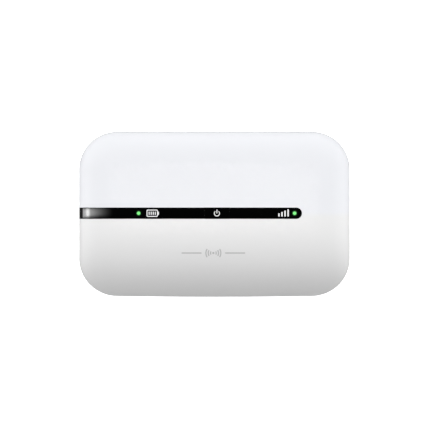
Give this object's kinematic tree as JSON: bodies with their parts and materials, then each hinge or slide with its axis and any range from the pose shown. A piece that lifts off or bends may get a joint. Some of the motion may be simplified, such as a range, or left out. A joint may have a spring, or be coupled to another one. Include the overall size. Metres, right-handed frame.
{
  "type": "mobile hotspot",
  "caption": "Pocket mobile hotspot: white two-part casing with a black indicator strip, power key, clip-on back and removable battery.",
  "frame": {"origin": "centre of the casing's flat back, on the surface it lies on", "axes": "+X from the strip's open end on the left side towards its round end on the right, +Y towards the top edge, +Z out of the front"},
  "size_m": [0.1, 0.061, 0.014],
  "materials": {
    "white_shell": "gloss",
    "frame_plastic": "matte",
    "black_lens": "gloss",
    "black_plastic": "matte",
    "tape": "matte",
    "light_pipe": "gloss",
    "led_body": "gloss",
    "grey_rubber": "matte",
    "circuit_board": "satin",
    "tinned_steel": "satin",
    "chip_epoxy": "matte",
    "ceramic": "satin",
    "gold_contact": "polished",
    "antenna_copper": "satin",
    "antenna_steel": "satin",
    "insert_brass": "satin",
    "screw_steel": "satin",
    "paper_label": "matte",
    "battery_can": "satin",
    "battery_wrap": "satin",
    "foam": "matte"
  },
  "bodies": {
    "back_cover": {"rear_cover": "white_shell", "cover_foam": "foam"},
    "device": {"front_shell": "white_shell", "chassis": "frame_plastic", "battery_lens": "black_lens", "signal_lens": "black_lens", "light_shrouds": "black_plastic", "usb_tongue": "black_plastic", "sim_base": "black_plastic", "battery_socket": "black_plastic", "lens_tape": "tape", "battery_light_pipe": "light_pipe", "signal_light_pipe": "light_pipe", "battery_led": "led_body", "signal_led": "led_body", "thermal_pad": "grey_rubber", "main_board": "circuit_board", "baseband_shield": "tinned_steel", "rf_shield": "tinned_steel", "wifi_shield": "tinned_steel", "power_shield": "tinned_steel", "power_switch": "tinned_steel", "usb_shell": "tinned_steel", "sim_cage": "tinned_steel", "crystal": "tinned_steel", "reset_switch": "tinned_steel", "baseband_chip": "chip_epoxy", "memory_chip": "chip_epoxy", "rf_chip": "chip_epoxy", "wifi_chip": "chip_epoxy", "power_chip": "chip_epoxy", "board_passives": "ceramic", "antenna_springs": "gold_contact", "usb_contacts": "gold_contact", "sim_contacts": "gold_contact", "battery_springs": "gold_contact", "main_antenna": "antenna_copper", "wifi_antenna": "antenna_steel", "threaded_inserts": "insert_brass", "chassis_screws": "screw_steel", "device_label": "paper_label", "moisture_dot": "paper_label"},
    "battery": {"battery_cell": "battery_can", "battery_label": "battery_wrap", "battery_header": "black_plastic", "battery_tail_cap": "black_plastic", "battery_pads": "gold_contact"},
    "power_button": {"power_key": "black_lens", "key_pad": "grey_rubber", "power_switch_plunger": "black_plastic"},
    "reset_button": {"reset_key": "black_plastic"}
  },
  "joints": [
    {"name": "cover_release", "type": "slide", "parent": "back_cover", "child": "device", "axis": [0, 0, 1], "range_m": [0, 0.045]},
    {"name": "battery_release", "type": "slide", "parent": "back_cover", "child": "battery", "axis": [0, 0, 1], "range_m": [0, 0.0225]},
    {"name": "power_press", "type": "slide", "parent": "device", "child": "power_button", "axis": [0, 0, -1], "range_m": [0, 0.00025], "stiffness_N_per_m": 2000, "springref_m": -0.0003},
    {"name": "reset_press", "type": "slide", "parent": "device", "child": "reset_button", "axis": [0, 0, 1], "range_m": [0, 0.00025], "stiffness_N_per_m": 1500, "springref_m": -0.0003}
  ],
  "couplings": [
    {"joint": "battery_release", "follows": "cover_release", "ratio": 0.5}
  ]
}
